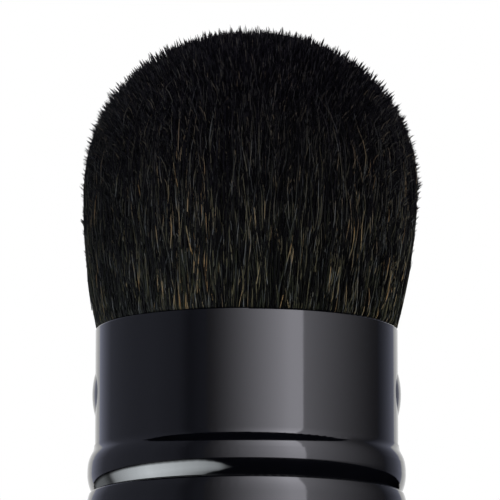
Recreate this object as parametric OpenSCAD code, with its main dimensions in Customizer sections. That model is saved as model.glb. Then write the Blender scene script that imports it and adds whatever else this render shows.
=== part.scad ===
// Retractable kabuki brush, open, standing on its base.
// Origin at the centre of the base's underside, +Z along the brush to the tuft's tip.
// The core carries the tuft. The sleeve slides up the core and covers the tuft.

/* [Neck tube] */
// Outside diameter of the neck tube
neck_d = 30; // [28:0.5:40]
// Wall of the neck tube
neck_wall = 0.4; // [0.3:0.05:0.8]
// Length of neck that shows above the body shell
neck_h = 11.7; // [11:0.1:16]
// Length of neck tube that is held inside the body shell, below the valley under the bead
neck_tail = 5; // [3:0.5:8]
// Diameter of each pressed bump that holds a cap
bump_d = 4.3; // [3:0.1:4.4]
// How far a bump stands out of the neck
bump_rise = 0.3; // [0.2:0.05:0.4]
// Depth of the bumps' centres below the rim
bump_drop = 6.5; // [4:0.1:8]

/* [Body shell] */
// How far the bead stands out from the neck
bead_rise = 0.75; // [0.5:0.05:1.2]
// Radius of the hollow curve from the shell's mouth into the bead
bead_root_r = 1.5; // [0.8:0.1:2]
// Radius of the bead's upper curve
bead_top_r = 2.8; // [1.8:0.1:3.4]
// Radius of the bead's flatter middle
bead_mid_r = 6; // [4:0.5:9]
// Radius of the bead's lower curve
bead_low_r = 3.9; // [3.2:0.1:4.5]
// Wall left at the mouth of the shell
mouth_wall = 0.06; // [0.05:0.01:0.15]
// Wall left at the valley under the bead
valley_wall = 0.25; // [0.2:0.05:0.3]
// How far the body stands out from the neck
body_rise = 0.8; // [0.8:0.05:2]
// Radius of the shoulder's tight upper curve
shoulder_r = 0.3; // [0.2:0.05:0.6]
// Radius of the shoulder's wide lower curve
shoulder_side_r = 3.5; // [2:0.1:4]
// Wall of the body shell
body_wall = 0.4; // [0.3:0.05:0.6]
// Height of the thick collar under the valley
shoulder_h = 1.6; // [1.5:0.1:2]

/* [Guide bush] */
// Thickness of the bush's flange
bush_flange_h = 1.6; // [1:0.1:3]
// Height of the spring fingers above the flange
finger_h = 4.2; // [3:0.1:6]
// Wall of the spring fingers
finger_wall = 1.1; // [0.8:0.1:1.2]
// Depth of the relief behind each finger's detent ridge
finger_relief = 0.3; // [0.2:0.05:0.4]
// Height of the detent ridge
detent_h = 1; // [0.6:0.1:1.4]
// Width of the slits between the fingers
slit_w = 1.2; // [0.8:0.1:2]
// Solid root between the flange and the slits
finger_root = 0.3; // [0.2:0.1:0.8]

/* [Core] */
// Outside diameter of the core tube
core_d = 24; // [20:0.5:25]
// Wall of the core tube
core_wall = 1.4; // [1:0.1:2]
// Number of guide ribs
rib_count = 3; // [2:1:4]
// Width of a guide rib
rib_w = 2.4; // [1.6:0.1:3.2]
// How far a guide rib stands out of the core tube
rib_rise = 0.9; // [0.6:0.1:1]
// Depth of the two detent grooves
groove_depth = 0.25; // [0.15:0.05:0.35]
// Height of the collar that carries the slide ring
collar_h = 2.6; // [2.4:0.1:4]
// Height of the spigot that the ferrule is pushed over
spigot_h = 3; // [2:0.1:3.4]
// Thickness of the plate that closes the top of the core tube
core_top = 1.4; // [1:0.1:2]
// Thickness of the slide ring's section
ring_section = 1.5; // [1.2:0.1:1.6]

/* [Base] */
// Height of the base
base_h = 4.5; // [4:0.1:8]
// Wall of the base cap
base_wall = 0.5; // [0.4:0.05:0.8]
// Floor of the base cap
base_floor = 0.6; // [0.5:0.05:1]
// Rounding of the base's lower edge
base_edge_r = 1.2; // [0.6:0.1:1.5]
// Drop of the base plug below the base cap's rim
plug_drop = 0.3; // [0.2:0.05:0.6]
// Thickness of the base plug under the core tube
plug_floor = 1; // [0.8:0.1:1.4]
// Height of the hub inside the core tube, above the base plug's floor
hub_h = 11; // [10:0.5:16]
// Diameter of the steel weight
weight_d = 17; // [12:0.5:17]
// Height of the steel weight
weight_h = 8; // [4:0.5:8.5]

/* [Tuft] */
// Length of the tuft above the rim
tuft_h = 30; // [26:0.1:36]
// Widest diameter of the tuft
tuft_d = 33.4; // [32.6:0.1:36]
// Height of the widest place above the rim
tuft_waist = 14.4; // [11:0.1:15]
// Height of the upright lip of hair just above the rim
tuft_lip = 0.35; // [0.3:0.05:0.6]
// Squareness of the dome, where 2 is round
dome_power = 2.15; // [2:0.05:2.6]
// Shape of the flare from the rim to the widest place
flare_power = 1.95; // [1.6:0.05:2.4]
// Wall of the hair ferrule
ferrule_wall = 0.4; // [0.3:0.05:0.6]
// Height of the hair ferrule
ferrule_h = 7.5; // [6.6:0.1:12]
// Depth of the ferrule's mouth below the rim of the neck
tuft_recess = 1.2; // [0.8:0.1:3]
// Height of the bonded root of the tuft
root_h = 2; // [1.5:0.1:2.4]
// Thickness of the binding thread
thread_d = 0.42; // [0.3:0.02:0.5]
// Turns of binding thread
thread_turns = 3; // [2:1:4]
// How deep each turn of thread is pressed into the one below
thread_press = 0.04; // [0.02:0.01:0.06]

/* [Clearances] */
// Gap filled with glue or a light press, on the radius
glue_gap = 0.03; // [0.02:0.01:0.05]
// Running clearance of the slide ring in the neck tube's bore
slide_gap = 0.05; // [0.02:0.01:0.1]
// Running clearance of the guide bush on the core tube
bush_gap = 0.05; // [0.02:0.01:0.1]
// Clearance round each guide rib
rib_gap = 0.12; // [0.1:0.01:0.2]
// Clearance of the ferrule and collar in the neck tube's bore
ferrule_gap = 0.3; // [0.2:0.05:0.5]
// Gap between the sleeve and the base when the sleeve is down
seat_gap = 0.1; // [0.05:0.05:0.3]
// Gap between the guide bush and the collar when the sleeve is up
stop_gap = 0.1; // [0.05:0.05:0.3]
// Clearance between the tuft and the neck tube
tuft_gap = 0.2; // [0.1:0.05:0.3]
// How far the raised rim stands above the tuft's tip
tip_cover = 1; // [0.5:0.1:3]

/* [Hidden] */
$fn = 96;

// Radii, from the neck outwards and inwards
neck_r = neck_d / 2;
neck_bore_r = neck_r - neck_wall;
mouth_r = neck_r + glue_gap;
bead_r = neck_r + bead_rise;
valley_r = mouth_r + valley_wall;
body_r = neck_r + body_rise;
body_bore_r = body_r - body_wall;
liner_r = body_bore_r - glue_gap;
ferrule_r = neck_bore_r - ferrule_gap;
ferrule_bore_r = ferrule_r - ferrule_wall;
spigot_r = ferrule_bore_r - glue_gap;
ring_mid_r = neck_bore_r - slide_gap - ring_section / 2;
ring_seat_r = ring_mid_r - ring_section / 2 - glue_gap;
core_r = core_d / 2;
core_bore_r = core_r - core_wall;
rib_r = core_r + rib_rise;
bush_bore_r = core_r + bush_gap;
notch_r = rib_r + rib_gap;
finger_bore_r = bush_bore_r + finger_relief;
finger_r = finger_bore_r + finger_wall;
base_bore_r = body_r - base_wall;
hub_r = core_bore_r - glue_gap;
weight_r = weight_d / 2;

// Heights, from the base up. The travel is what it takes to cover the tuft.
travel = tuft_h + tip_cover;
sleeve_z = base_h + seat_gap;
finger_z = sleeve_z + bush_flange_h;
bush_top_z = finger_z + finger_h;
detent_z = bush_top_z - detent_h / 2;
core_foot_z = base_floor + plug_floor;
collar_z = bush_top_z + travel + stop_gap;
ferrule_z = collar_z + collar_h;
ferrule_top_z = ferrule_z + ferrule_h;
spigot_top_z = ferrule_z + spigot_h;
root_top_z = spigot_top_z + root_h;
rim_z = ferrule_top_z + tuft_recess;
mouth_z = rim_z - neck_h;

// The bead's section is four arcs that run into each other: hollow from the mouth, then
// bulging. An arc ends at the slope where the next one starts, in degrees from upright.
bead_brow_a = 8;
bead_chin_a = 3;
lip_r = mouth_r + mouth_wall;
bead_root_a = acos(1 - (bead_r - lip_r - (bead_mid_r - bead_top_r) * (1 - cos(bead_brow_a)))
  / (bead_root_r + bead_top_r));
bead_foot_a = acos(cos(bead_chin_a)
  - (bead_r - valley_r - bead_mid_r * (1 - cos(bead_chin_a))) / bead_low_r);
bead_root_z = mouth_z - bead_root_r * sin(bead_root_a);
bead_brow_z = bead_root_z - bead_top_r * (sin(bead_root_a) - sin(bead_brow_a));
bead_mid_z = bead_brow_z - bead_mid_r * sin(bead_brow_a);
bead_chin_z = bead_mid_z - bead_mid_r * sin(bead_chin_a);
valley_z = bead_chin_z - bead_low_r * (sin(bead_foot_a) - sin(bead_chin_a));

// The shoulder's tight arc runs into its wide one at this slope
shoulder_a = 20;
shoulder_mid_r = body_r - (shoulder_side_r - shoulder_r) * (1 - cos(shoulder_a)) - shoulder_r;
shoulder_foot_z = valley_z - shoulder_r - (shoulder_side_r - shoulder_r) * sin(shoulder_a);
shell_step_z = valley_z - shoulder_h;
neck_foot_z = valley_z - neck_tail;

ring_groove_h = ring_section + 2 * glue_gap;
thread_pitch = thread_d - thread_press;
dome_steps = 18;
flare_steps = 8;
// Overlap that joins solids of one piece, and overshoot of what is cut away
lap = 0.1;
over = 1;

// Colours, as the lacquer, hair and hidden pieces look
lacquer = [0.06, 0.06, 0.07];
hair_black = [0.05, 0.045, 0.045];
nylon_grey = [0.16, 0.16, 0.17];
amber = [0.55, 0.4, 0.2];

// A ring with square edges, from one radius to another
module ring(outer, inner, low, high) {
  translate([0, 0, low])
    difference() {
      cylinder(r = outer, h = high - low);
      translate([0, 0, -over]) cylinder(r = inner, h = high - low + 2 * over);
    }
}

// What a rounded outer corner takes away: the square minus its quarter circle
module corner_waste(r) {
  difference() {
    square([r + over, r + over]);
    circle(r = r);
  }
}

// A thin wall's section with a fully rounded upper edge
module rounded_wall(inner, wall, low, high) {
  translate([inner, low]) square([wall, high - low - wall / 2]);
  translate([inner + wall / 2, high - wall / 2]) circle(r = wall / 2);
}

module base_cap() {
  color(lacquer)
    rotate_extrude()
      difference() {
        union() {
          square([body_r, base_floor]);
          translate([base_bore_r, 0]) square([base_wall, base_h]);
          translate([base_bore_r - base_edge_r, 0]) square([base_edge_r, base_floor + base_edge_r / 2]);
        }
        translate([body_r - base_edge_r, base_edge_r]) mirror([0, 1]) corner_waste(base_edge_r);
        translate([base_bore_r - base_edge_r, base_floor + base_edge_r]) circle(r = base_edge_r);
      }
}

// The plug fills the base cap. A ring groove takes the core tube's foot, and its hub
// stands inside the tube round the weight.
module base_plug() {
  color(nylon_grey)
    rotate_extrude()
      difference() {
        union() {
          translate([0, base_floor]) square([base_bore_r - glue_gap, base_h - plug_drop - base_floor]);
          translate([0, core_foot_z]) square([hub_r, hub_h]);
        }
        translate([hub_r, core_foot_z]) square([core_r + glue_gap - hub_r, hub_h]);
        translate([0, base_floor - over]) square([weight_r + glue_gap, weight_h + glue_gap + over]);
        translate([base_bore_r - glue_gap - base_edge_r, base_floor + base_edge_r])
          mirror([0, 1]) corner_waste(base_edge_r);
      }
}

module base_weight() {
  color("silver")
    translate([0, 0, base_floor]) cylinder(r = weight_r, h = weight_h);
}

// A detent groove with sloping flanks, cut round the core tube
module detent_groove(z) {
  translate([0, 0, z])
    rotate_extrude()
      polygon([
        [core_r + over, detent_h / 2 + groove_depth + over],
        [core_r - groove_depth, detent_h / 2],
        [core_r - groove_depth, -detent_h / 2],
        [core_r + over, -detent_h / 2 - groove_depth - over]
      ]);
}

module guide_rib(angle) {
  rotate([0, 0, angle])
    translate([core_r - core_wall / 2, -rib_w / 2, base_h])
      cube([rib_rise + core_wall / 2, rib_w, collar_z - base_h + lap]);
}

// The tube that carries the tuft. Its ribs keep the sleeve from turning and its two
// grooves take the bush's fingers when the sleeve is down and when it is up.
module core_tube() {
  color(nylon_grey)
    difference() {
      union() {
        difference() {
          translate([0, 0, core_foot_z]) cylinder(r = core_r, h = collar_z - core_foot_z + lap);
          detent_groove(detent_z);
          detent_groove(detent_z + travel);
        }
        for (i = [0 : rib_count - 1]) guide_rib(i * 360 / rib_count);
        rotate_extrude()
          difference() {
            translate([0, collar_z]) square([ferrule_r, collar_h]);
            translate([ring_seat_r, collar_z + collar_h / 2 - ring_groove_h / 2])
              square([ferrule_r, ring_groove_h]);
          }
        translate([0, 0, ferrule_z - lap]) cylinder(r = spigot_r, h = spigot_h + lap);
      }
      translate([0, 0, core_foot_z - over])
        cylinder(r = core_bore_r, h = spigot_top_z - core_top - core_foot_z + over);
    }
}

module slide_ring() {
  color("dimgray")
    translate([0, 0, collar_z + collar_h / 2])
      rotate_extrude()
        translate([ring_mid_r, 0]) circle(d = ring_section, $fn = 32);
}

module hair_ferrule() {
  color("silver")
    rotate_extrude() rounded_wall(ferrule_bore_r, ferrule_wall, ferrule_z, ferrule_top_z);
}

module root_plug() {
  color(amber)
    translate([0, 0, spigot_top_z]) cylinder(r = spigot_r, h = root_h);
}

module root_binding() {
  color("ivory")
    rotate_extrude()
      for (turn = [0 : thread_turns - 1])
        translate([spigot_r - thread_d / 2, root_top_z + thread_d / 2 + turn * thread_pitch])
          circle(d = thread_d, $fn = 24);
}

// Radius of the tuft at a height above its widest place, and below it
function dome_point(a) = [
  tuft_d / 2 * pow(cos(a), 2 / dome_power),
  rim_z + tuft_waist + (tuft_h - tuft_waist) * pow(sin(a), 2 / dome_power)
];
function flare_point(share) = [
  tuft_d / 2 - (tuft_d / 2 - neck_r) * pow(share, flare_power),
  rim_z + tuft_lip + (tuft_waist - tuft_lip) * (1 - share)
];

// The tuft comes out of the ferrule, fills the neck and swells over the rim
module hair_bundle() {
  bound_r = spigot_r - thread_d - glue_gap;
  bound_z = root_top_z + thread_turns * thread_pitch + thread_d;
  neck_fill_r = neck_bore_r - tuft_gap;
  color(hair_black)
    rotate_extrude()
      polygon(concat(
        [
          [0, root_top_z],
          [bound_r, root_top_z],
          [bound_r, bound_z],
          [spigot_r, bound_z + thread_d],
          [spigot_r, ferrule_top_z],
          [neck_fill_r, ferrule_top_z + tuft_recess / 2],
          [neck_fill_r, rim_z + tuft_gap]
        ],
        [for (i = [0 : flare_steps]) flare_point(1 - i / flare_steps)],
        [for (i = [1 : dome_steps - 1]) dome_point(90 * i / dome_steps)],
        [[0, rim_z + tuft_h]]
      ));
}

// What a circle fills outside the mouth's radius, between two heights
module arc_strip(r, arc_x, arc_z, low, high) {
  intersection() {
    translate([mouth_r, low]) square([arc_x + r - mouth_r, high - low]);
    translate([arc_x, arc_z]) circle(r = r);
  }
}

// Section of the bead, from the hollow root at the mouth down to the valley. The smaller
// arcs lap inside the middle one.
module bead_section() {
  difference() {
    translate([mouth_r, bead_root_z]) square([bead_rise, mouth_z - bead_root_z]);
    translate([lip_r + bead_root_r, mouth_z]) circle(r = bead_root_r);
  }
  arc_strip(bead_top_r, bead_r - bead_top_r - (bead_mid_r - bead_top_r) * (1 - cos(bead_brow_a)),
    bead_mid_z + (bead_mid_r - bead_top_r) * sin(bead_brow_a), bead_brow_z - lap, bead_root_z + lap);
  arc_strip(bead_mid_r, bead_r - bead_mid_r, bead_mid_z, bead_chin_z, bead_brow_z);
  arc_strip(bead_low_r, bead_r - bead_low_r - (bead_mid_r - bead_low_r) * (1 - cos(bead_chin_a)),
    bead_mid_z - (bead_mid_r - bead_low_r) * sin(bead_chin_a), valley_z - lap, bead_chin_z + lap);
}

// Section of the wall under the bead. The shoulder's tight arc laps inside its wide one.
module body_section() {
  shoulder_turn_z = shoulder_foot_z + shoulder_side_r * sin(shoulder_a);
  difference() {
    union() {
      translate([mouth_r, sleeve_z]) square([body_r - mouth_r, shoulder_foot_z - sleeve_z]);
      translate([mouth_r, sleeve_z]) square([shoulder_mid_r - mouth_r, valley_z - sleeve_z]);
      arc_strip(shoulder_side_r, body_r - shoulder_side_r, shoulder_foot_z,
        shoulder_foot_z - lap, shoulder_turn_z);
      arc_strip(shoulder_r, shoulder_mid_r, valley_z - shoulder_r, shoulder_turn_z - lap, valley_z);
    }
    translate([0, sleeve_z - over]) square([body_bore_r, shell_step_z - sleeve_z + over]);
  }
}

module body_shell() {
  color(lacquer)
    rotate_extrude() {
      bead_section();
      body_section();
    }
}

// A pressed bump is a shallow dome: the wall is pushed out, so it is hollow behind
bump_sphere_r = (pow(bump_d / 2, 2) + pow(bump_rise, 2)) / (2 * bump_rise);

module bump_domes(r) {
  for (side = [-1, 1])
    translate([side * (neck_r + bump_rise - bump_sphere_r), 0, rim_z - bump_drop]) sphere(r = r);
}

module neck_tube() {
  color(lacquer)
    difference() {
      union() {
        rotate_extrude() rounded_wall(neck_bore_r, neck_wall, neck_foot_z, rim_z);
        bump_domes(bump_sphere_r);
      }
      translate([0, 0, neck_foot_z - bump_sphere_r])
        cylinder(r = neck_bore_r, h = rim_z - neck_foot_z + 2 * bump_sphere_r);
      bump_domes(bump_sphere_r - neck_wall);
    }
}

// The liner stands on the bush, fills the body shell and holds the foot of the neck tube
module sleeve_liner() {
  color(nylon_grey)
    difference() {
      ring(liner_r, neck_bore_r, finger_z, shell_step_z);
      translate([0, 0, neck_foot_z]) cylinder(r = mouth_r, h = shell_step_z - neck_foot_z + over);
    }
}

// The bush runs on the core tube. Its flange closes the sleeve, and its fingers carry
// the detent ridge: wide slots between them pass the ribs, narrow slits part the rest.
module guide_bush() {
  rib_side = rib_w + 2 * rib_gap;
  slot_z = finger_z + finger_root;
  slot_h = bush_top_z - slot_z + over;
  slot_r = finger_r + over;
  color("dimgray")
    difference() {
      rotate_extrude()
        polygon([
          [bush_bore_r, sleeve_z],
          [liner_r, sleeve_z],
          [liner_r, finger_z],
          [finger_r, finger_z],
          [finger_r, bush_top_z],
          [bush_bore_r, bush_top_z],
          [bush_bore_r, bush_top_z - detent_h],
          [finger_bore_r, bush_top_z - detent_h - finger_relief],
          [finger_bore_r, slot_z + 2 * finger_relief],
          [bush_bore_r, slot_z + finger_relief]
        ]);
      for (i = [0 : rib_count - 1]) {
        rotate([0, 0, i * 360 / rib_count]) {
          translate([0, -rib_side / 2, sleeve_z - over])
            cube([notch_r, rib_side, slot_z - sleeve_z + 2 * over]);
          translate([0, -rib_side / 2, slot_z]) cube([slot_r, rib_side, slot_h]);
        }
        rotate([0, 0, (i + 0.5) * 360 / rib_count])
          translate([0, -slit_w / 2, slot_z]) cube([slot_r, slit_w, slot_h]);
      }
    }
}

base_cap();
base_plug();
base_weight();
core_tube();
slide_ring();
hair_ferrule();
root_plug();
root_binding();
hair_bundle();
body_shell();
neck_tube();
sleeve_liner();
guide_bush();
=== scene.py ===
"""Looks of a retractable kabuki brush: lacquered sleeve and base, its hidden core, and the tuft."""
import math

import bpy
import numpy as np
from bpy.props import FloatProperty, FloatVectorProperty, IntProperty, PointerProperty
from bpy.types import Operator, Panel, PropertyGroup
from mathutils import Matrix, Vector


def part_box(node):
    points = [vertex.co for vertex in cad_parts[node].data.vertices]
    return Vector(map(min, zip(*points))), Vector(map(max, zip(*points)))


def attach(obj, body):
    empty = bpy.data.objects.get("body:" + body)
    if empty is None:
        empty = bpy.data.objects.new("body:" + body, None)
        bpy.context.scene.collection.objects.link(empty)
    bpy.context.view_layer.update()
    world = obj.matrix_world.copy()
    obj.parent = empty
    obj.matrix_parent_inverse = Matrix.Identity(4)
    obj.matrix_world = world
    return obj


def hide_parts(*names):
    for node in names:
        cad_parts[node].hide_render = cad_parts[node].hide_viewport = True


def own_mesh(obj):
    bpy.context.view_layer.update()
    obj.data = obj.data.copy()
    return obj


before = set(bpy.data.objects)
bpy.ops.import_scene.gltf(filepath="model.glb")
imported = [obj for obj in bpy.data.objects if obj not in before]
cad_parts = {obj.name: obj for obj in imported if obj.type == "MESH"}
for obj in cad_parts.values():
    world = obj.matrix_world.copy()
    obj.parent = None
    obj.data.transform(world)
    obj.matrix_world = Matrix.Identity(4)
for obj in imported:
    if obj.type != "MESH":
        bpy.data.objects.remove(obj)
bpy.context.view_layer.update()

bl_info = {
    "name": "Retractable Brush Looks",
    "version": (1, 0, 0),
    "blender": (4, 5, 0),
    "location": "3D View > Sidebar > Brush",
    "description": "Dresses a retractable kabuki brush with lacquer, moulded parts and a tuft of hair",
    "category": "Object",
}

MM = 0.001
TAU = 2 * math.pi
# Name of the hair's map. Across is the hair's pigment, with the long hairs' painted glints, and up is its
# height.
HAIR_MAP = "OFBake"

RIM_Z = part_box("neck_tube")[1].z
TIP_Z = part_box("hair_bundle")[1].z
NECK_FILL_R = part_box("hair_ferrule")[1].x

# Heights above the rim: where the side hairs' waves are counted to, where the tips start,
# and the tuft's widest place
SIDE_HEIGHT = 14 * MM
TIPS_START = 3.5 * MM
WIDEST = 15 * MM
# Lowest, most frequent and highest end of a long hair above the rim, in millimetres
LONG_HAIR_ENDS = (4, 13, 27.5)
LONG_HAIR_POINTS = 16
# Locks of long hair: how many go round the tuft, their twist, and their sideways push in mm
LOCK_WAVES = ((37, 2.1, 0.28), (61, -3.3, 0.16), (23, 1.2, 0.3))
# How a hair leans from upright under the dome, and how its end does, in degrees, by the
# outline's own lean
RISE_TILTS = ((0, 50, 80, 97), (0, 16, 13, 10))
TIP_TILTS = ((0, 50, 80, 90, 97), (0, 43, 64, 52, 28))
# Share of a clump's spread at each point of a hair, and its width there, from lowest to tip
TIP_LOOSENESS = (1.5, 1.3, 1.0, 0.65, 0.3)
TIP_TAPER = (1, 1, 0.95, 0.65, 0.22)
# A wedge of packed hair is this much wider than its sector, so it lies under its neighbours
WEDGE_OVERLAP = 1.1
WEDGE_COLUMNS = 17
WEDGE_LEVELS = 70

# The studio's surfaces: the height that the walls' angles are counted from, the floor's
# upper and lower face, and the strip light's height under it
WALL_EYE_Z = 0.045
FLOOR_TOP, FLOOR_FOOT = -0.2 * MM, -1.2 * MM
STRIP_Z = -0.02
# The strip light's angle from the camera in degrees, nearest and farthest radius, and share
# of the full glow
STRIP_SHAPE = (
    (-150, 0.058, 0.85, 0.06),
    (-128, 0.058, 0.85, 0.09),
    (-118, 0.058, 0.80, 0.03),
    (-112, 0.058, 0.75, 0.30),
    (-100, 0.058, 0.85, 0.58),
    (-75, 0.058, 0.90, 1.22),
    (-58, 0.062, 0.85, 1.12),
    (-34, 0.077, 0.75, 0.78),
    (-20, 0.095, 0.32, 0.52),
    (-15, 0.110, 0.19, 0.17),
    (-10.5, 0.125, 0.135, 0.0),
)
# Glow from the strip's near edge to its far one
STRIP_PROFILE = ((0, 0.12, 0.3, 0.76, 0.86, 1), (0.35, 0.8, 1, 0.95, 0.4, 0.06))


class StudioSettings(PropertyGroup):
    camera_distance: FloatProperty(
        name="Camera distance", description="From the lens to the brush", default=0.5, unit="LENGTH")
    camera_tilt: FloatProperty(
        name="Camera tilt", description="How far the camera looks up",
        default=math.radians(9.7), subtype="ANGLE")
    aim_height: FloatProperty(
        name="Aim height", description="Height of the middle of the picture", default=0.0609,
        unit="LENGTH")
    aim_side: FloatProperty(
        name="Aim side", description="Middle of the picture, to the right of the brush",
        default=0.00033, unit="LENGTH")
    view_width: FloatProperty(
        name="View width", description="Width of the picture at the brush", default=0.0498,
        unit="LENGTH")
    wall_radius: FloatProperty(
        name="Wall radius", description="From the brush to the glowing walls", default=0.8,
        unit="LENGTH")
    wall_top: FloatProperty(
        name="Wall top", description="How high the walls reach, seen from the neck",
        default=math.radians(43.5), subtype="ANGLE")
    wall_foot: FloatProperty(
        name="Wall foot", description="Where the walls start, seen from the neck",
        default=math.radians(-3), subtype="ANGLE")
    key_glow: FloatProperty(
        name="Key glow", description="Brightest edge of the key softbox", default=6.3)
    side_glow: FloatProperty(
        name="Side glow", description="Brightest edge of the side softbox", default=2.2)
    dim_glow: FloatProperty(
        name="Dim glow", description="Brightness of the grey walls", default=0.2)
    low_glow: FloatProperty(
        name="Low glow", description="Brightness of the low strip light", default=9.0)
    floor_colour: FloatVectorProperty(
        name="Floor colour", description="Pale floor", default=(0.8, 0.8, 0.8), subtype="COLOR")


class LacquerSettings(PropertyGroup):
    colour: FloatVectorProperty(
        name="Lacquer colour", description="Black with a trace of blue",
        default=(0.0014, 0.0015, 0.0022), subtype="COLOR")
    smoothness: FloatProperty(
        name="Lowest roughness", description="Roughness of the clean lacquer", default=0.05)
    haze: FloatProperty(
        name="Highest roughness", description="Roughness where the lacquer is handled", default=0.1)
    peel_size: FloatProperty(
        name="Orange peel", description="Width of the lacquer's ripples", default=0.0012,
        unit="LENGTH")


class HairSettings(PropertyGroup):
    sectors: IntProperty(
        name="Sectors", description="Locks that the tuft is parted into round the axis", default=16)
    long_hairs: IntProperty(
        name="Long hairs", description="Hairs that lie along the side of the tuft", default=7000)
    clumps: IntProperty(
        name="Clumps", description="Little points that the tips gather into", default=12000)
    clump_hairs: IntProperty(
        name="Hairs in a clump", description="Tips in each little point", default=4)
    thickness: FloatProperty(
        name="Thickness", description="Width of one hair", default=0.1 * MM, unit="LENGTH")
    tip_length: FloatProperty(
        name="Tip length", description="Length of a hair's end that turns out of the dome",
        default=0.6 * MM, unit="LENGTH")
    rise_length: FloatProperty(
        name="Rise length", description="Length of the same hair that rises under it",
        default=3.4 * MM, unit="LENGTH")
    clump_spread: FloatProperty(
        name="Clump spread", description="How far a clump's hairs lie from its middle under the tips",
        default=0.14 * MM, unit="LENGTH")
    packed_depth: FloatProperty(
        name="Packed depth", description="Depth of the packed hair under the loose ends",
        default=0.9 * MM, unit="LENGTH")
    sway: FloatProperty(
        name="Sway", description="How far the tuft leans to the right over its widest place",
        default=0.43 * MM, unit="LENGTH")
    kept: FloatProperty(
        name="Kept", description="Share of its width that the tuft keeps in the raised sleeve",
        default=0.83)
    seed: IntProperty(name="Seed", description="Start of the random draws", default=7)


def new_material(name):
    """An empty node material with its output, as (material, nodes, links)."""
    material = bpy.data.materials.new(name)
    material.use_nodes = True
    tree = material.node_tree
    tree.nodes.clear()
    return material, tree.nodes, tree.links


def principled(name, **values):
    """A material with one Principled BSDF, whose constant values are set on its own sockets."""
    material, nodes, links = new_material(name)
    shader = nodes.new("ShaderNodeBsdfPrincipled")
    output = nodes.new("ShaderNodeOutputMaterial")
    links.new(shader.outputs["BSDF"], output.inputs["Surface"])
    for socket, value in values.items():
        shader.inputs[socket.replace("_", " ")].default_value = value
    return material, nodes, links, shader


def socket_group(name, inputs, outputs):
    """A shader node group with float sockets, as (group, its input node, its output node)."""
    group = bpy.data.node_groups.new(name, "ShaderNodeTree")
    for socket, value in inputs.items():
        made = group.interface.new_socket(socket, in_out="INPUT", socket_type="NodeSocketFloat")
        made.default_value = value
    for socket in outputs:
        group.interface.new_socket(socket, in_out="OUTPUT", socket_type="NodeSocketFloat")
    return group, group.nodes.new("NodeGroupInput"), group.nodes.new("NodeGroupOutput")


def map_range(nodes, links, value, low, high):
    """A Map Range node from 0..1 to low..high, which may be numbers or sockets."""
    node = nodes.new("ShaderNodeMapRange")
    links.new(value, node.inputs["Value"])
    for socket, end in (("To Min", low), ("To Max", high)):
        if isinstance(end, bpy.types.NodeSocket):
            links.new(end, node.inputs[socket])
        else:
            node.inputs[socket].default_value = end
    return node.outputs["Result"]


def maths(nodes, links, operation, a, b):
    """A Math node of two inputs, each a number or a socket."""
    node = nodes.new("ShaderNodeMath")
    node.operation = operation
    for socket, value in zip(node.inputs, (a, b)):
        if isinstance(value, bpy.types.NodeSocket):
            links.new(value, socket)
        else:
            socket.default_value = value
    return node.outputs["Value"]


def ramp(nodes, links, value, stops):
    """A Color Ramp through (place, colour) stops."""
    node = nodes.new("ShaderNodeValToRGB")
    elements = node.color_ramp.elements
    while len(elements) < len(stops):
        elements.new(0.5)
    for element, (place, colour) in zip(elements, stops):
        element.position = place
        element.color = (*colour, 1.0)
    links.new(value, node.inputs["Fac"])
    return node.outputs["Color"]


def grain_group():
    """Fine even grain: a value for roughness between Low and High, and a height for a bump."""
    group = bpy.data.node_groups.get("fine_grain")
    if group:
        return group
    group, start, end = socket_group(
        "fine_grain", {"Scale": 1000.0, "Detail": 2.0, "Low": 0.4, "High": 0.6},
        ("Roughness", "Height"))
    nodes, links = group.nodes, group.links
    place = nodes.new("ShaderNodeTexCoord")
    noise = nodes.new("ShaderNodeTexNoise")
    links.new(place.outputs["Object"], noise.inputs["Vector"])
    links.new(start.outputs["Scale"], noise.inputs["Scale"])
    links.new(start.outputs["Detail"], noise.inputs["Detail"])
    rough = map_range(nodes, links, noise.outputs["Fac"], start.outputs["Low"], start.outputs["High"])
    links.new(rough, end.inputs["Roughness"])
    links.new(noise.outputs["Fac"], end.inputs["Height"])
    return group


def turned_group():
    """Fine rings round the axis, as a lathe or a spinning tool leaves them."""
    group = bpy.data.node_groups.get("turning_marks")
    if group:
        return group
    group, start, end = socket_group(
        "turning_marks", {"Rings": 9000.0, "Round": 60.0, "Low": 0.25, "High": 0.45},
        ("Roughness", "Height"))
    nodes, links = group.nodes, group.links
    place = nodes.new("ShaderNodeTexCoord")
    apart = nodes.new("ShaderNodeSeparateXYZ")
    links.new(place.outputs["Object"], apart.inputs["Vector"])
    joined = nodes.new("ShaderNodeCombineXYZ")
    for axis in "XY":
        links.new(maths(nodes, links, "MULTIPLY", apart.outputs[axis], start.outputs["Round"]),
                  joined.inputs[axis])
    links.new(maths(nodes, links, "MULTIPLY", apart.outputs["Z"], start.outputs["Rings"]),
              joined.inputs["Z"])
    noise = nodes.new("ShaderNodeTexNoise")
    noise.inputs["Scale"].default_value = 1.0
    links.new(joined.outputs["Vector"], noise.inputs["Vector"])
    rough = map_range(nodes, links, noise.outputs["Fac"], start.outputs["Low"], start.outputs["High"])
    links.new(rough, end.inputs["Roughness"])
    links.new(noise.outputs["Fac"], end.inputs["Height"])
    return group


def stretched_noise(nodes, links, vector, stretch):
    """Noise drawn out by a factor on each axis of a vector socket."""
    scale = nodes.new("ShaderNodeVectorMath")
    scale.operation = "MULTIPLY"
    scale.inputs[1].default_value = stretch
    links.new(vector, scale.inputs[0])
    noise = nodes.new("ShaderNodeTexNoise")
    noise.inputs["Scale"].default_value = 1.0
    links.new(scale.outputs["Vector"], noise.inputs["Vector"])
    return noise.outputs["Fac"]


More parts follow.
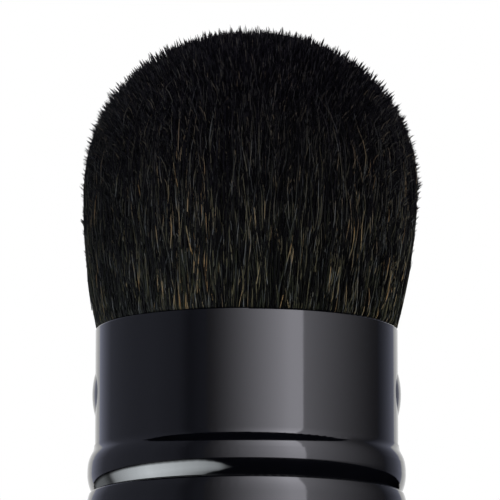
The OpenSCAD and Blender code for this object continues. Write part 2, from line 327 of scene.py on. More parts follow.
def mixed(nodes, links, factor, a, b):
    """A colour between a and b, each a colour or a socket, as factor goes from 0 to 1."""
    mix = nodes.new("ShaderNodeMix")
    mix.data_type = "RGBA"
    links.new(factor, mix.inputs["Factor"])
    for socket, value in (("A", a), ("B", b)):
        if isinstance(value, bpy.types.NodeSocket):
            links.new(value, mix.inputs[socket])
        else:
            mix.inputs[socket].default_value = (*value, 1.0)
    return mix.outputs["Result"]


def place_group(nodes, group, **values):
    """A group node with its own input values."""
    node = nodes.new("ShaderNodeGroup")
    node.node_tree = group
    for socket, value in values.items():
        node.inputs[socket].default_value = value
    return node


def add_bump(nodes, links, shader, height, depth, strength=1.0):
    """Feeds a height into the shader's normal. Depth is in metres."""
    bump = nodes.new("ShaderNodeBump")
    bump.inputs["Strength"].default_value = strength
    bump.inputs["Distance"].default_value = depth
    links.new(height, bump.inputs["Height"])
    links.new(bump.outputs["Normal"], shader.inputs["Normal"])


def tinted_by(nodes, links, shader, value, dark, light):
    """Base colour between dark and light, as value goes from 0 to 1."""
    links.new(mixed(nodes, links, value, dark, light), shader.inputs["Base Color"])


def scaled(colour, factor):
    """A colour made lighter or darker by a factor."""
    return tuple(channel * factor for channel in colour)


def lacquer(settings):
    """Glossy black lacquer on metal: long soft ripples and a little haze from handling."""
    material, nodes, links, shader = principled("black_lacquer", IOR=1.5)
    haze = place_group(nodes, grain_group(), Scale=180.0, Detail=4.0,
                       Low=settings.smoothness, High=settings.haze)
    ripples = place_group(nodes, grain_group(), Scale=1 / settings.peel_size, Detail=1.0)
    links.new(haze.outputs["Roughness"], shader.inputs["Roughness"])
    tinted_by(nodes, links, shader, haze.outputs["Height"], scaled(settings.colour, 0.8),
              scaled(settings.colour, 1.25))
    add_bump(nodes, links, shader, ripples.outputs["Height"], 0.0015 * MM)
    return material


def moulded(name, colour, grain, low, high):
    """Moulded plastic or rubber with a fine matt grain."""
    material, nodes, links, shader = principled(name)
    texture = place_group(nodes, grain_group(), Scale=grain, Detail=3.0, Low=low, High=high)
    links.new(texture.outputs["Roughness"], shader.inputs["Roughness"])
    tinted_by(nodes, links, shader, texture.outputs["Height"], scaled(colour, 0.8), scaled(colour, 1.2))
    add_bump(nodes, links, shader, texture.outputs["Height"], 0.02 * MM, 0.5)
    return material


def turned_metal(name, colour, rings, low, high):
    """Bare metal with turning marks round its axis."""
    material, nodes, links, shader = principled(name, Metallic=1.0)
    marks = place_group(nodes, turned_group(), Rings=rings, Low=low, High=high)
    links.new(marks.outputs["Roughness"], shader.inputs["Roughness"])
    tinted_by(nodes, links, shader, marks.outputs["Height"], scaled(colour, 0.85), colour)
    add_bump(nodes, links, shader, marks.outputs["Height"], 0.004 * MM, 0.6)
    return material


def root_resin():
    """Amber resin with darker streaks where it soaks into the hair roots."""
    material, nodes, links, shader = principled("root_resin", IOR=1.52, Coat_Weight=0.3)
    streaks = place_group(nodes, grain_group(), Scale=2600.0, Detail=5.0, Low=0.18, High=0.4)
    links.new(streaks.outputs["Roughness"], shader.inputs["Roughness"])
    tinted_by(nodes, links, shader, streaks.outputs["Height"], (0.1, 0.045, 0.012), (0.5, 0.3, 0.1))
    add_bump(nodes, links, shader, streaks.outputs["Height"], 0.05 * MM, 0.5)
    return material


def binding_thread():
    """Waxed thread, with the slant of its twist from a wave round the axis."""
    material, nodes, links, shader = principled("binding_thread", Roughness=0.7)
    place = nodes.new("ShaderNodeTexCoord")
    wave = nodes.new("ShaderNodeTexWave")
    wave.bands_direction = "DIAGONAL"
    wave.inputs["Scale"].default_value = 900.0
    wave.inputs["Distortion"].default_value = 1.5
    links.new(place.outputs["Object"], wave.inputs["Vector"])
    tinted_by(nodes, links, shader, wave.outputs["Fac"], (0.38, 0.34, 0.27), (0.78, 0.74, 0.64))
    add_bump(nodes, links, shader, wave.outputs["Fac"], 0.04 * MM)
    return material


def hair_material():
    """Black hair with brown, olive and tan ones among it, which fade into black towards the tips."""
    material, nodes, links, shader = principled("goat_hair", Specular_IOR_Level=0.035)
    chart = nodes.new("ShaderNodeUVMap")
    chart.uv_map = HAIR_MAP
    apart = nodes.new("ShaderNodeSeparateXYZ")
    links.new(chart.outputs["UV"], apart.inputs["Vector"])
    pigment, height = apart.outputs["X"], apart.outputs["Y"]
    foot = ramp(nodes, links, pigment, (
        (0.00, (0.0010, 0.0010, 0.0014)),
        (0.35, (0.0022, 0.0022, 0.0024)),
        (0.60, (0.0056, 0.0060, 0.0048)),
        (0.74, (0.0130, 0.0145, 0.0092)),
        (0.80, (0.0250, 0.0285, 0.0160)),
        (0.83, (0.0380, 0.0440, 0.0440)),
        (0.86, (0.0480, 0.0480, 0.0270)),
        (0.91, (0.0880, 0.0820, 0.0440)),
        (0.94, (0.0920, 0.1040, 0.1020)),
        (0.96, (0.1400, 0.1180, 0.0620)),
        (0.985, (0.2100, 0.1620, 0.0850)),
        (1.00, (0.2100, 0.1150, 0.0300)),
    ))
    # The hair ends' colours: partly the hairs' own blue-black and partly painted sheen, with the
    # grey-blue of the palest ends standing in for the streaks of light on the dome.
    tip = ramp(nodes, links, pigment, (
        (0.00, (0.0008, 0.0007, 0.0015)),
        (0.35, (0.0024, 0.0022, 0.0036)),
        (0.60, (0.0055, 0.0048, 0.0078)),
        (0.76, (0.0095, 0.0090, 0.0115)),
        (0.86, (0.0170, 0.0150, 0.0180)),
        (0.94, (0.0290, 0.0290, 0.0320)),
        (1.00, (0.0600, 0.0520, 0.0450)),
    ))
    faded = ramp(nodes, links, height, (
        (0.00, (0.0,) * 3),
        (0.25, (0.3,) * 3),
        (0.45, (0.58,) * 3),
        (0.65, (0.82,) * 3),
        (0.95, (0.97,) * 3),
    ))
    links.new(mixed(nodes, links, faded, foot, tip), shader.inputs["Base Color"])
    along = stretched_noise(nodes, links, chart.outputs["UV"], (700.0, 9.0, 1.0))
    links.new(map_range(nodes, links, along, 0.35, 0.6), shader.inputs["Roughness"])
    return material


def heart_material():
    """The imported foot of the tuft: fine upright fibres, almost black."""
    material, nodes, links, shader = principled("tuft_shadow", Roughness=0.8)
    place = nodes.new("ShaderNodeTexCoord")
    fibres = stretched_noise(nodes, links, place.outputs["Object"], (9000.0, 9000.0, 300.0))
    tinted_by(nodes, links, shader, fibres, (0.0012,) * 3, (0.004, 0.004, 0.005))
    add_bump(nodes, links, shader, fibres, 0.05 * MM)
    return material


def dress(node, material):
    """Gives a CAD node its material. Its shape and its body stay as they are."""
    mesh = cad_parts[node].data
    mesh.materials.clear()
    mesh.materials.append(material)


def widest_at_heights(node):
    """A CAD solid's widest radius at each height where it has corners, as (radius, height)."""
    widest = {}
    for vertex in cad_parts[node].data.vertices:
        height = round(vertex.co.z, 6)
        widest[height] = max(math.hypot(vertex.co.x, vertex.co.y), widest.get(height, 0.0))
    return [(widest[height], height) for height in sorted(widest)]


class Outline:
    """The tuft's outside above the rim, read from its CAD solid, by distance along it from the rim."""

    def __init__(self):
        levels = [(r, z) for r, z in widest_at_heights("hair_bundle") if z > RIM_Z + 0.3 * MM]
        self.r, self.z = np.array(levels).T
        steps = np.hypot(np.diff(self.r), np.diff(self.z))
        self.s = np.concatenate(([0.0], np.cumsum(steps)))
        self.length = self.s[-1]

    def at(self, s):
        """Radius and height at distance s along the outline."""
        return np.interp(s, self.s, self.r), np.interp(s, self.s, self.z)

    def normal(self, s):
        """The outward normal at s, as its radial and upright parts."""
        reach = 0.6 * MM
        r0, z0 = self.at(s - reach)
        r1, z1 = self.at(s + reach)
        length = np.hypot(r1 - r0, z1 - z0)
        return (z1 - z0) / length, (r0 - r1) / length

    def distance_at(self, z):
        """Distance along the outline at height z."""
        return np.interp(z, self.z, self.s)

    def spread_evenly(self, shares, low, full):
        """Distances along the outline for shares from 0 to 1, by area, and thin from low to full."""
        s = np.linspace(low, self.length, 400)
        ring = self.at(s)[0] * np.interp(s, (low, full), (0.12, 1.0))
        area = np.concatenate(([0.0], np.cumsum((ring[1:] + ring[:-1]) / 2)))
        return np.interp(shares, area / area[-1], s)


def in_space(radius, angle, height):
    """Points from polar ones, with the last axis x, y and z."""
    return np.stack((radius * np.cos(angle), radius * np.sin(angle), height), -1)


def leaned(paths, sway):
    """Points moved to the right by the tuft's lean, which grows up to its widest place."""
    share = np.clip((paths[..., 2] - RIM_Z) / WIDEST, 0, 1)
    paths[..., 0] += sway * share
    return paths


def pigments(angle, random):
    """A share from 0 to 1 for each hair, black to tan. Pale hairs lie together in places."""
    gathered = 0.03 * np.sin(5 * angle - 1.3) + 0.02 * np.sin(13 * angle + 0.8)
    return np.clip(random.uniform(0, 1, len(angle)) + gathered - 0.015, 0, 1)


def long_hair_paths(outline, random, angle, pale):
    """Hairs that rise from the neck and lie along the side of the tuft, in loose locks.

    Depths and sideways moves are in millimetres until they are added to the points."""
    count = len(angle)
    reach = outline.distance_at(RIM_Z + random.triangular(*LONG_HAIR_ENDS, count) * MM)
    s = reach[:, None] * np.linspace(0, 1, LONG_HAIR_POINTS)
    r, z = outline.at(s)
    nr, nz = outline.normal(s)
    # Depth under the outline rises and falls, so a hair shows only here and there
    depth = random.uniform(0.1, 0.8, count) * np.where(pale, 0.8, 1.0)
    swing = random.uniform(0.15, 0.45, count)
    wave = random.uniform(3.5, 9, count) * MM
    phase = random.uniform(0, TAU, (3, count))
    depth = depth[:, None] + swing[:, None] * np.sin(TAU * s / wave[:, None] + phase[0][:, None])
    depth = np.maximum(depth, 0.05)
    depth += np.interp(z, (RIM_Z + WIDEST, RIM_Z + 25 * MM), (0.0, 0.35))
    r, z = r - nr * depth * MM, z - nz * depth * MM
    # The foot goes straight down into the neck, clear of its bore
    foot_r = np.minimum(NECK_FILL_R - 0.05 * MM, r[:, :1])
    r = np.concatenate((foot_r, r), 1)
    z = np.concatenate((np.full((count, 1), RIM_Z - 0.9 * MM), z), 1)
    u = (z - RIM_Z) / SIDE_HEIGHT
    strays = random.uniform(0, 1, count) < np.where(pale, 0.3, 0.1)
    side = (random.normal(0, 0.45, count) + strays * random.normal(0, 1.5, count))[:, None] * u
    side += random.normal(0, 0.2, count)[:, None] * np.sin(TAU * 0.9 * u + phase[1][:, None])
    side += random.normal(0, 0.06, count)[:, None] * np.sin(TAU * 2.7 * u + phase[2][:, None])
    for waves, twist, push in LOCK_WAVES:
        side += push * np.clip(u, 0, 1) * np.sin(waves * angle[:, None] + twist * u)
    turn = side * MM / np.maximum(r, 3 * MM)
    return in_space(r, angle[:, None] + turn, z)


def tip_paths(outline, settings, random):
    """Hair ends that rise under the dome, turn out of it and gather into little points."""
    count, hairs = settings.clumps, settings.clump_hairs
    order = np.arange(count)
    low = outline.distance_at(RIM_Z + TIPS_START)
    full = outline.distance_at(RIM_Z + WIDEST)
    clump_s = outline.spread_evenly((order + random.uniform(0, 1, count)) / count, low, full)
    # Turned by the golden angle from one to the next, so that no rows show
    clump_angle = order * math.pi * (3 - math.sqrt(5))
    # Most clumps end together, some lie along the side, and a few stand well out. Their reach
    # over the outline is in millimetres until the last line on it.
    lying = random.uniform(0, 1, count) ** 2.5
    clump_reach = np.minimum(random.exponential(0.25, count), 0.7) - 0.35 * lying
    total = count * hairs
    s, angle, lying = (np.repeat(values, hairs) for values in (clump_s, clump_angle, lying))
    r, z = outline.at(s)
    nr, nz = outline.normal(s)
    reach = np.repeat(clump_reach, hairs) * np.interp(s, (low, full), (0.35, 1.0))
    reach *= np.interp(nr, (0.9, 1.0), (1.0, 0.8))
    reach -= np.abs(random.normal(0, 0.22, total))
    reach *= MM
    # Under the dome a hair leans a little with the outline's normal, and its end more
    facing = np.degrees(np.arccos(np.clip(nz, -1, 1)))
    rise_tilt = np.radians(np.interp(facing, *RISE_TILTS))
    tip_tilt = np.radians(np.interp(facing, *TIP_TILTS))
    tip_tilt += (0.7 * rise_tilt - tip_tilt) * lying
    clump_wander = np.repeat(random.normal(0, 0.05, (2, count)), hairs, 1)
    wander = clump_wander + random.normal(0, 0.03, (2, total))
    out = np.stack((np.sin(tip_tilt) + wander[0], wander[1], np.cos(tip_tilt)), -1)
    rise = np.stack((np.sin(rise_tilt), 0.5 * wander[1], np.cos(rise_tilt)), -1)
    out /= np.linalg.norm(out, axis=1, keepdims=True)
    rise /= np.linalg.norm(rise, axis=1, keepdims=True)
    turning = out + 1.5 * rise
    turning /= np.linalg.norm(turning, axis=1, keepdims=True)
    # Places in radial, sideways and upright parts, from the lowest to the tip
    tip = np.stack((r + nr * reach, 0 * r, z + nz * reach), -1)
    end = settings.tip_length * random.uniform(0.7, 1.25, total) * (1 + 0.8 * lying)
    below = settings.rise_length * random.uniform(0.75, 1.15, total)
    below = np.minimum(below, tip[:, 2] - RIM_Z - end - 0.4 * MM)[:, None]
    end = end[:, None]
    bend = tip - out * end
    low_bend = bend - turning * 0.35 * below
    places = (low_bend - rise * 0.65 * below, low_bend, bend, tip - out * 0.45 * end, tip)
    spread = random.normal(0, settings.clump_spread, (2, total))
    inward = -np.abs(spread[0])
    across = np.stack((inward * nr, spread[1], inward * nz), -1)
    paths = np.stack([place + across * loose for place, loose in zip(places, TIP_LOOSENESS)], 1)
    forward, sideways = np.cos(angle)[:, None], np.sin(angle)[:, None]
    x = paths[..., 0] * forward - paths[..., 1] * sideways
    y = paths[..., 0] * sideways + paths[..., 1] * forward
    return np.stack((x, y, paths[..., 2]), -1)


def tubes(paths, widths, pigment, fade):
    """Closed three-sided tubes that end in a point, as (vertices, triangles, chart).

    The chart holds a hair's pigment across, with the long hairs' painted glints, and its height up, moved
    by the hair's own fade."""
    count, points = paths.shape[:2]
    tangent = np.gradient(paths, axis=1)
    tangent /= np.linalg.norm(tangent, axis=2, keepdims=True)
    around = np.cross((0.0, 0.0, 1.0), paths[:, :1] * (1, 1, 0))
    around /= np.maximum(np.linalg.norm(around, axis=2, keepdims=True), 1e-12)
    face = np.cross(around, tangent)
    face /= np.linalg.norm(face, axis=2, keepdims=True)
    side = np.cross(tangent, face)
    rings = points - 1
    corner = TAU * np.arange(3) / 3
    ring = paths[:, :rings, None] + widths[:, :rings, None, None] / 2 * (
        side[:, :rings, None] * np.cos(corner)[:, None] + face[:, :rings, None] * np.sin(corner)[:, None])
    each = 3 * rings + 1
    vertices = np.concatenate((ring.reshape(count, 3 * rings, 3), paths[:, -1:]), 1)
    pattern = [(2, 1, 0)]
    for i in range(rings - 1):
        for k in range(3):
            a, b = 3 * i + k, 3 * i + (k + 1) % 3
            pattern += [(a, b, b + 3), (a, b + 3, a + 3)]
    last = 3 * (rings - 1)
    pattern += [(last + k, last + (k + 1) % 3, each - 1) for k in range(3)]
    faces = (np.arange(count)[:, None, None] * each + np.array(pattern)).reshape(-1, 3)
    height = (vertices[:, :, 2] - RIM_Z) / (TIP_Z - RIM_Z) + fade[:, None]
    # A hair's three corners differ a little across, so that its map has an area
    step = np.append(np.tile(np.arange(3), rings), 1) * 0.0012
    shade = np.repeat(pigment, 3, axis=1)[:, :each]
    across = 0.002 + 0.99 * shade + step
    chart = np.stack((across, np.clip(height, 0.0, 1.0)), -1)
    return vertices.reshape(-1, 3), faces, chart.reshape(-1, 2)


def packed_wedge(outline, settings, random, middle, span):
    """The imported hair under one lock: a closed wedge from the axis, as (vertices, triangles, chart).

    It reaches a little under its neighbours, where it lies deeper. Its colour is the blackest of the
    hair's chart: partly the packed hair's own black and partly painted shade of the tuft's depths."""
    s = np.linspace(0, outline.length, WEDGE_LEVELS)
    r, z = outline.at(s)
    nr, nz = outline.normal(s)
    keep = (r > 1.4 * MM) & (z > RIM_Z + 1.2 * MM)
    share = np.linspace(0, 1, WEDGE_COLUMNS)
    depth = settings.packed_depth + random.normal(0, 0.1 * MM, (keep.sum(), len(share)))
    depth += 0.35 * MM * np.abs(2 * share - 1) ** 8
    r = r[keep, None] - nr[keep, None] * depth
    z = z[keep, None] - nz[keep, None] * depth
    r = np.concatenate((np.full((1, len(share)), NECK_FILL_R - 0.7 * MM), r))
    z = np.concatenate((np.full((1, len(share)), RIM_Z - 0.7 * MM), z))
    angle = middle + WEDGE_OVERLAP * span * (share - 0.5)
    rings = in_space(r, angle[None, :], z).reshape(-1, 3)
    vertices = np.concatenate((rings, [(0, 0, z[0, 0]), (0, 0, z[-1].max())]))
    wide, foot, top = len(share), len(rings), len(rings) + 1
    faces = []
    for i in range(len(r) - 1):
        for k in range(wide - 1):
            a = i * wide + k
            faces += [(a, a + 1, a + wide + 1), (a, a + wide + 1, a + wide)]
        right, left = i * wide, i * wide + wide - 1
        faces += [(foot, right, right + wide), (foot, left + wide, left)]
    last = len(rings) - wide
    for k in range(wide - 1):
        faces += [(foot, k + 1, k), (top, last + k, last + k + 1)]
    faces += [(foot, last, top), (foot, top, last + wide - 1)]
    height = np.clip((vertices[:, 2] - RIM_Z) / (TIP_Z - RIM_Z), 0, 1)
    # The blackest band of the hair's chart: partly the packed hair's own black and partly painted shade
    # of the tuft's depths under the loose hairs.
    across = np.append(np.tile(0.02 * share, len(r)), (0.01, 0.01))
    return vertices, np.array(faces), np.stack((across, height), -1)


def new_mesh(name, vertices, faces):
    """A mesh of these points and faces."""
    mesh = bpy.data.meshes.new(name)
    mesh.from_pydata(vertices, [], faces)
    return mesh


def new_object(mesh):
    """An object of this mesh and its name, in the scene."""
    made = bpy.data.objects.new(mesh.name, mesh)
    bpy.context.scene.collection.objects.link(made)
    return made


def grid_faces(rows, columns):
    """Faces of a grid whose points run along its columns first."""
    faces = []
    for row in range(rows):
        for column in range(columns):
            a = row * (columns + 1) + column
            faces.append((a, a + 1, a + columns + 2, a + columns + 1))
    return faces


def mesh_of(name, parts):
    """One mesh of several (vertices, triangles, chart) parts, with the chart as its hair map."""
    offsets = np.cumsum([0] + [len(vertices) for vertices, _, _ in parts])
    vertices = np.concatenate([part[0] for part in parts])
    faces = np.concatenate([part[1] + offset for part, offset in zip(parts, offsets)])
    chart = np.concatenate([part[2] for part in parts])
    mesh = new_mesh(name, vertices, faces)
    layer = mesh.uv_layers.new(name=HAIR_MAP)
    layer.uv.foreach_set("vector", chart[faces.ravel()].astype(np.float32).ravel())
    mesh.shade_smooth()
    return mesh


def add_piece(mesh, material, body, *nodes):
    """Links a mesh as a piece that rides on a body and replaces CAD nodes."""
    piece = new_object(mesh)
    mesh.materials.append(material)
    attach(piece, body)
    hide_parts(*nodes)
    return piece


def turned_mesh(name, profile, sides):
    """A closed mesh turned from (radius, height) points that start and end on the axis."""
    angle = TAU * np.arange(sides) / sides
    inner = np.array(profile[1:-1])
    rings = in_space(inner[:, :1], angle[None, :], np.repeat(inner[:, 1:], sides, 1))
    vertices = [(0, 0, profile[0][1]), *rings.reshape(-1, 3).tolist(), (0, 0, profile[-1][1])]
    faces = [(0, 1 + (k + 1) % sides, 1 + k) for k in range(sides)]
    for i in range(len(inner) - 1):
        for k in range(sides):
            a, b = 1 + i * sides + k, 1 + i * sides + (k + 1) % sides
            faces.append((a, b, b + sides, a + sides))
    top = len(vertices) - 1
    faces += [(top - sides + k, top - sides + (k + 1) % sides, top) for k in range(sides)]
    mesh = new_mesh(name, vertices, faces)
    mesh.shade_smooth()
    return mesh


def glowing_card(name, vertices, faces, light):
    """A card that holds its brightness at each point, for the stage."""
    mesh = new_mesh(name, vertices, faces)
    mesh.attributes.new("glow", "FLOAT", "POINT").data.foreach_set("value", light)
    card = new_object(mesh)
    return card


def curved_card(name, start, stop, low, high, radius, glow):
    """A card on a cylinder round the brush. Angles are measured from the camera, right positive.

    glow(share across, share up) gives its brightness."""
    across, up = 48, 10
    vertices, light = [], []
    for j in range(up + 1):
        elevation = low + (high - low) * j / up
        for i in range(across + 1):
            angle = start + (stop - start) * i / across
            height = WALL_EYE_Z + radius * math.tan(elevation)
            vertices.append((radius * math.sin(angle), -radius * math.cos(angle), height))
            light.append(glow(i / across, j / up))
    return glowing_card(name, vertices, grid_faces(up, across), light)


def glow_material(name, colour):
    """Light whose strength is the mesh's own glow."""
    material, nodes, links = new_material(name)
    glow = nodes.new("ShaderNodeAttribute")
    glow.attribute_name = "glow"
    emission = nodes.new("ShaderNodeEmission")
    emission.inputs["Color"].default_value = (*colour, 1.0)
    output = nodes.new("ShaderNodeOutputMaterial")
    links.new(glow.outputs["Fac"], emission.inputs["Strength"])
    links.new(emission.outputs["Emission"], output.inputs["Surface"])
    return material


def seen_by(nodes, links, *rays):
    """1 for these kinds of ray, such as "Is Camera Ray", and otherwise 0."""
    path = nodes.new("ShaderNodeLightPath")
    total = path.outputs[rays[0]]
    for ray in rays[1:]:
        total = maths(nodes, links, "MAXIMUM", total, path.outputs[ray])
    return total


class BRUSH_OT_studio(Operator):
    """Camera, pale floor, white backdrop and the glowing walls that the lacquer reflects"""

    bl_idname = "brush.studio"
    bl_label = "Studio"

    def execute(self, context):
        settings = context.scene.brush_studio
        self.camera(context.scene, settings)
        self.world(context.scene)
        self.backdrop(settings)
        self.floor(settings)
        self.walls(settings)
        context.scene.view_settings.view_transform = "Standard"
        return {"FINISHED"}

    def camera(self, scene, settings):
        """A camera in front of the brush that looks up at it."""
        data = bpy.data.cameras.new("camera")
        camera = bpy.data.objects.new("camera", data)
        scene.collection.objects.link(camera)
        aim = Vector((settings.aim_side, 0, settings.aim_height))
        tilt = settings.camera_tilt
        away = Vector((0, -math.cos(tilt), -math.sin(tilt))) * settings.camera_distance
        camera.location = aim + away
        camera.rotation_mode = "QUATERNION"
        camera.rotation_quaternion = (-away).to_track_quat("-Z", "Y")
        data.lens = data.sensor_width * settings.camera_distance / settings.view_width
        data.clip_start = 0.01
        scene.camera = camera

    def world(self, scene):
        """White where the camera looks past everything, and no light of its own."""
        world = bpy.data.worlds.new("studio")
        scene.world = world
        world.use_nodes = True
        nodes, links = world.node_tree.nodes, world.node_tree.links
        nodes.clear()
        background = nodes.new("ShaderNodeBackground")
        background.inputs["Color"].default_value = (1, 1, 1, 1)
        output = nodes.new("ShaderNodeOutputWorld")
        links.new(seen_by(nodes, links, "Is Camera Ray", "Is Transmission Ray"),
                  background.inputs["Strength"])
        links.new(background.outputs["Background"], output.inputs["Surface"])

    def backdrop(self, settings):
        """White behind the brush, for the camera and the reflections."""
        card = curved_card(
            "backdrop", math.radians(150), math.radians(210), math.radians(-4),
            settings.wall_top, 1.5 * settings.wall_radius, lambda across, up: 1.0)
        material, nodes, links = new_material("backdrop_white")
        emission = nodes.new("ShaderNodeEmission")
        output = nodes.new("ShaderNodeOutputMaterial")
        links.new(seen_by(nodes, links, "Is Camera Ray", "Is Glossy Ray", "Is Transmission Ray"),
                  emission.inputs["Strength"])
        links.new(emission.outputs["Emission"], output.inputs["Surface"])
        card.data.materials.append(material)

    def floor(self, settings):
        """A round of pale paper that fades into white away from the brush."""
        radius = 0.3 * settings.wall_radius
        mesh = turned_mesh("floor", [(0, FLOOR_FOOT), (radius, FLOOR_FOOT), (radius, FLOOR_TOP),
                                     (0, FLOOR_TOP)], 96)
        floor = new_object(mesh)
        floor.visible_glossy = False
        material, nodes, links = new_material("floor_paper")
        paper = nodes.new("ShaderNodeBsdfDiffuse")
        paper.inputs["Color"].default_value = (*settings.floor_colour, 1.0)
        white = nodes.new("ShaderNodeEmission")
        place = nodes.new("ShaderNodeTexCoord")
        far = nodes.new("ShaderNodeVectorMath")
        far.operation = "LENGTH"
        links.new(place.outputs["Object"], far.inputs[0])
        fade = nodes.new("ShaderNodeMapRange")
        fade.interpolation_type = "SMOOTHSTEP"
        fade.inputs["From Min"].default_value = 0.03
        fade.inputs["From Max"].default_value = 0.16
        fade.inputs["To Min"].default_value = 0.62
        links.new(far.outputs["Value"], fade.inputs["Value"])
        share = maths(nodes, links, "MULTIPLY", fade.outputs["Result"],
                      seen_by(nodes, links, "Is Camera Ray"))
        mix = nodes.new("ShaderNodeMixShader")
        output = nodes.new("ShaderNodeOutputMaterial")
        links.new(share, mix.inputs["Fac"])
        links.new(paper.outputs["BSDF"], mix.inputs[1])
        links.new(white.outputs["Emission"], mix.inputs[2])
        links.new(mix.outputs["Shader"], output.inputs["Surface"])
        mesh.materials.append(material)

    def walls(self, settings):
        """Softboxes and grey walls. Their brightness comes from the reflections on the neck."""
        def upward(up):
            return np.interp(up, (0, 0.15, 1), (0.6, 0.95, 1.3))

        def key_across(across):
            return across ** 1.5 * np.interp(across, (0.85, 1), (1, 0.8))

        def grey_across(across):
            return np.interp(across, (0, 0.26, 0.54, 0.76, 0.86, 1), (1.35, 1.45, 1.6, 1.25, 0.6, 1))

        dim, key, side = settings.dim_glow, settings.key_glow, settings.side_glow
        # First and last angle from the camera in degrees, and glow by the shares across and up
        walls = (
            ("key_softbox", -30, 43, lambda a, up: (dim + (key - dim) * key_across(a)) * upward(up)),
            ("side_softbox", 43, 118, lambda a, up: (0.1 + (side - 0.1) * (1 - a) ** 1.7) * upward(up)),
            ("grey_wall_left", -125, -30, lambda a, up: dim * grey_across(a)),
            ("rear_wall_left", -150, -125, lambda a, up: 0.7 - (0.7 - 1.35 * dim) * a),
            ("rear_wall_right", 118, 150, lambda a, up: 0.1 + 0.4 * a),
        )
        lamp = glow_material("softbox_light", (0.97, 0.955, 1.05))
        grey = glow_material("wall_light", (0.86, 0.9, 1.15))
        for name, start, stop, glow in walls:
            card = curved_card(name, math.radians(start), math.radians(stop), settings.wall_foot,
                               settings.wall_top, settings.wall_radius, glow)
            card.data.materials.append(lamp if "softbox" in name else grey)
            card.visible_camera = False
        self.low_light(settings)

    def low_light(self, settings):
        """A strip light under the left front of the floor, which only reflections show."""
        shape = np.array(STRIP_SHAPE).T
        across, out = 80, 16
        vertices, glow = [], []
        for angle in np.linspace(shape[0][0], shape[0][-1], across + 1):
            near, far, level = (np.interp(angle, shape[0], row) for row in shape[1:])
            for share in np.linspace(0, 1, out + 1):
                radius = near * (far / near) ** share
                turn = math.radians(angle)
                vertices.append((radius * math.sin(turn), -radius * math.cos(turn), STRIP_Z))
                soft = np.interp(share, *STRIP_PROFILE)
                glow.append(settings.low_glow * level * soft)
        card = glowing_card("low_light", vertices, grid_faces(across, out), glow)
        card.data.materials.append(glow_material("strip_light", (0.93, 0.99, 1.03)))
        card.visible_camera = False
        card.visible_diffuse = False


class BRUSH_OT_lacquered_parts(Operator):
    """Black lacquer on the neck tube, the body shell and the base cap"""

    bl_idname = "brush.lacquered_parts"
    bl_label = "Lacquered parts"

    def execute(self, context):
        coat = lacquer(context.scene.brush_lacquer)
        for node in ("neck_tube", "body_shell", "base_cap"):
            dress(node, coat)
        return {"FINISHED"}


class BRUSH_OT_moulded_parts(Operator):
    """Matt moulded plastic on the core and the sleeve's inner parts, and silicone on the ring"""

    bl_idname = "brush.moulded_parts"
    bl_label = "Moulded parts"

    def execute(self, context):
        nylon = moulded("grey_nylon", (0.032, 0.033, 0.036), 5200.0, 0.42, 0.62)
        acetal = moulded("black_acetal", (0.018, 0.018, 0.02), 7600.0, 0.34, 0.5)
        rubber = moulded("black_silicone", (0.022, 0.022, 0.024), 3800.0, 0.6, 0.8)
        for node in ("base_plug", "core_tube", "sleeve_liner"):
            dress(node, nylon)
        dress("guide_bush", acetal)
        dress("slide_ring", rubber)
        return {"FINISHED"}


class BRUSH_OT_inner_metal(Operator):
    """Bare metal on the weight and the hair ferrule, and the bonded root of the tuft"""

    bl_idname = "brush.inner_metal"
    bl_label = "Inner metal and root"

    def execute(self, context):
        dress("base_weight", turned_metal("turned_steel", (0.55, 0.56, 0.58), 7000.0, 0.25, 0.45))
        dress("hair_ferrule", turned_metal("drawn_aluminium", (0.78, 0.79, 0.8), 4200.0, 0.22, 0.4))
        dress("root_plug", root_resin())
        dress("root_binding", binding_thread())
        return {"FINISHED"}


class BRUSH_OT_tuft_heart(Operator):
    """The stiff packed foot of the tuft, in the ferrule and the neck"""

    bl_idname = "brush.tuft_heart"
    bl_label = "Heart of the tuft"

    def execute(self, context):
        # It stays clear of what holds it, and is closed by a low dome under the hair
        inset = 0.03 * MM
        levels = [(r, z) for r, z in widest_at_heights("hair_bundle") if z < RIM_Z - 0.1 * MM]
        profile = [(0, levels[0][1] + inset)]
        profile += [(r - inset, z + inset) for r, z in levels]
        profile += [(13.9 * MM, RIM_Z), (12 * MM, RIM_Z + 1.5 * MM), (0, RIM_Z + 2 * MM)]
        add_piece(turned_mesh("tuft_heart", profile, 96), heart_material(), "core", "hair_bundle")
        return {"FINISHED"}


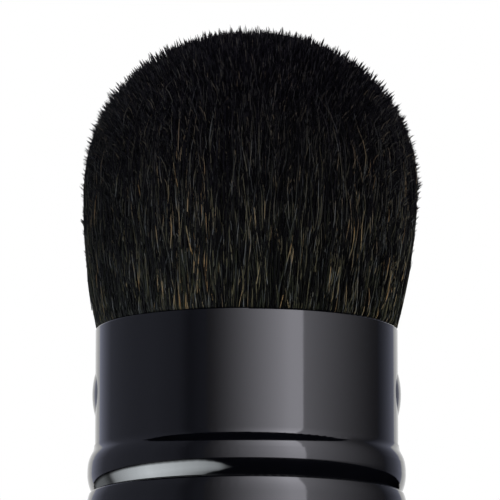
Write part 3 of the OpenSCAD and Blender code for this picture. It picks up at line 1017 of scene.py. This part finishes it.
class BRUSH_OT_tuft_hair(Operator):
    """Every hair of the tuft as a thin tube, in locks round the axis"""

    bl_idname = "brush.tuft_hair"
    bl_label = "Hair of the tuft"

    def execute(self, context):
        settings = context.scene.brush_hair
        random = np.random.default_rng(settings.seed)
        outline = Outline()
        count = settings.long_hairs
        angle = random.uniform(0, TAU, count)
        pigment = pigments(angle, random)
        paths = long_hair_paths(outline, random, angle, pigment > 0.8)
        paths = leaned(paths, settings.sway)
        width = settings.thickness * random.uniform(0.6, 1.4, count)
        taper = np.interp(np.linspace(0, 1, paths.shape[1]), (0, 0.6, 1), (1, 1, 0.25))
        # Each long hair's pigment rises and falls along it: painted glints where the hair catches the
        # light, and partly the hair's own change of colour along its length.
        phase = random.uniform(0, TAU, count)
        shade = np.sin(np.arange(paths.shape[1]) * 0.9 + phase[:, None])
        pigment = np.clip(pigment[:, None] + 0.035 * shade, 0, 1)
        long_family = (paths, width[:, None] * taper, pigment, random.normal(0, 0.1, count))
        paths = leaned(tip_paths(outline, settings, random), settings.sway)
        count = len(paths)
        width = settings.thickness * random.uniform(0.6, 1.15, count)
        taper = np.array(TIP_TAPER)
        pigment = np.repeat(random.uniform(0, 1, (count, 1)), len(taper), 1)
        tip_family = (paths, width[:, None] * taper, pigment, random.normal(0, 0.06, count))
        self.locks((long_family, tip_family), outline, settings, random)
        return {"FINISHED"}

    def locks(self, families, outline, settings, random):
        """Parts the hairs by the direction in which they lie from the axis, one piece a lock."""
        sectors = settings.sectors
        material = hair_material()
        for number in range(sectors):
            direction = TAU * number / sectors
            wedge, faces, chart = packed_wedge(outline, settings, random, direction, TAU / sectors)
            parts = [(leaned(wedge, settings.sway), faces, chart)]
            for paths, widths, pigment, fade in families:
                tips = paths[:, -1, :2]
                angle = np.arctan2(tips[:, 1], tips[:, 0])
                mine = np.round(angle / TAU * sectors).astype(int) % sectors == number
                parts.append(tubes(paths[mine], widths[mine], pigment[mine], fade[mine]))
            lock = mesh_of(f"tuft_lock_{number + 1:02d}", parts)
            piece = add_piece(lock, material, "core", "hair_bundle")
            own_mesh(piece)


class BRUSH_PT_looks(Panel):
    """Lists the steps that dress the brush, with the sizes and colours that they use"""

    bl_label = "Brush"
    bl_idname = "BRUSH_PT_looks"
    bl_space_type = "VIEW_3D"
    bl_region_type = "UI"
    bl_category = "Brush"

    def draw(self, context):
        for step in STEPS:
            self.layout.operator(step.bl_idname)
        for name in SETTINGS:
            box = self.layout.box()
            group = getattr(context.scene, name)
            for field in group.bl_rna.properties:
                if field.identifier not in {"rna_type", "name"}:
                    box.prop(group, field.identifier)


SETTINGS = {
    "brush_studio": StudioSettings,
    "brush_lacquer": LacquerSettings,
    "brush_hair": HairSettings,
}
STEPS = (
    BRUSH_OT_studio,
    BRUSH_OT_lacquered_parts,
    BRUSH_OT_moulded_parts,
    BRUSH_OT_inner_metal,
    BRUSH_OT_tuft_heart,
    BRUSH_OT_tuft_hair,
)
CLASSES = (*SETTINGS.values(), *STEPS, BRUSH_PT_looks)


def register():
    for cls in CLASSES:
        bpy.utils.register_class(cls)
    for name, group in SETTINGS.items():
        setattr(bpy.types.Scene, name, PointerProperty(type=group))


def unregister():
    for name in SETTINGS:
        delattr(bpy.types.Scene, name)
    for cls in reversed(CLASSES):
        bpy.utils.unregister_class(cls)


def main():
    register()
    for step in STEPS:
        category, action = step.bl_idname.split(".")
        getattr(getattr(bpy.ops, category), action)()


if __name__ == "__main__":
    main()
